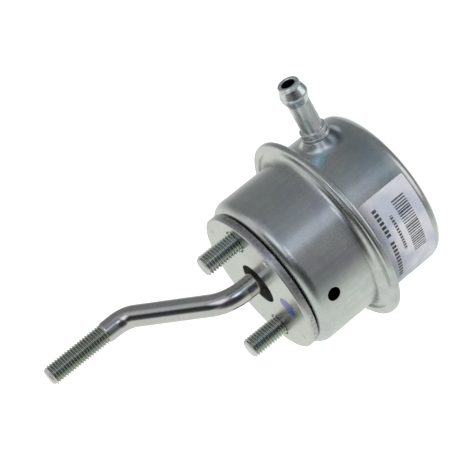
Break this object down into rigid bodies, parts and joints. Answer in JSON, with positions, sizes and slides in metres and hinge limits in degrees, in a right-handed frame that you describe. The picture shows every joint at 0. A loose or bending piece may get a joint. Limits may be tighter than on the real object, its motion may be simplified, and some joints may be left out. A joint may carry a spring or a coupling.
{
  "type": "wastegate actuator",
  "caption": "Turbocharger wastegate actuator: a two-part crimped steel can with hose nipple, mounting plate with studs, and a sprung, cranked push rod with threaded end.",
  "frame": {"origin": "centre of the mounting plate's outer face, on the cans' axis, midway between the studs", "axes": "+Z out of the plate along the rod's stroke, +X towards the hose nipple, +Y towards the side that the rod's threaded end is set over to"},
  "size_m": [0.083, 0.067, 0.1164],
  "materials": {
    "plate_zinc": "bright zinc plate on blanked steel, satin",
    "can_zinc": "bright zinc plate on drawn steel, smooth",
    "stud_zinc": "bright zinc plate on rolled thread",
    "rod_zinc": "bright zinc plate on drawn rod, glossy",
    "nipple_zinc": "bright zinc plate on turned steel",
    "mark_paint": "thin blue marking paint",
    "label_paper": null,
    "inner_steel": "pressed steel, plain",
    "spring_steel": "oiled spring wire",
    "bush_bronze": "sintered bronze, matte",
    "seal_rubber": "black rubber, matte",
    "diaphragm_rubber": "rubber on fabric, matte"
  },
  "bodies": {
    "housing": {"mounting_plate": "plate_zinc", "mounting_stud_nipple_side": "stud_zinc", "mounting_stud_far_side": "stud_zinc", "paint_mark": "mark_paint", "front_can": "can_zinc", "rear_can": "can_zinc", "nipple_washer": "nipple_zinc", "hose_nipple": "nipple_zinc", "label": "label_paper", "spring_seat": "inner_steel", "dust_seal": "seal_rubber", "guide_bush": "bush_bronze", "bush_housing": "inner_steel", "return_spring": "spring_steel", "diaphragm": "diaphragm_rubber"},
    "rod": {"actuator_rod": "rod_zinc", "piston": "inner_steel", "piston_washer": "inner_steel", "diaphragm_retainer": "inner_steel", "rivet_washer": "inner_steel"}
  },
  "joints": [
    {"name": "rod_slide", "type": "slide", "parent": "housing", "child": "rod", "axis": [0, 0, 1], "range_m": [0, 0.012], "stiffness_N_per_m": 5000, "springref_m": -0.012, "deforming": ["return_spring", "diaphragm"]}
  ]
}
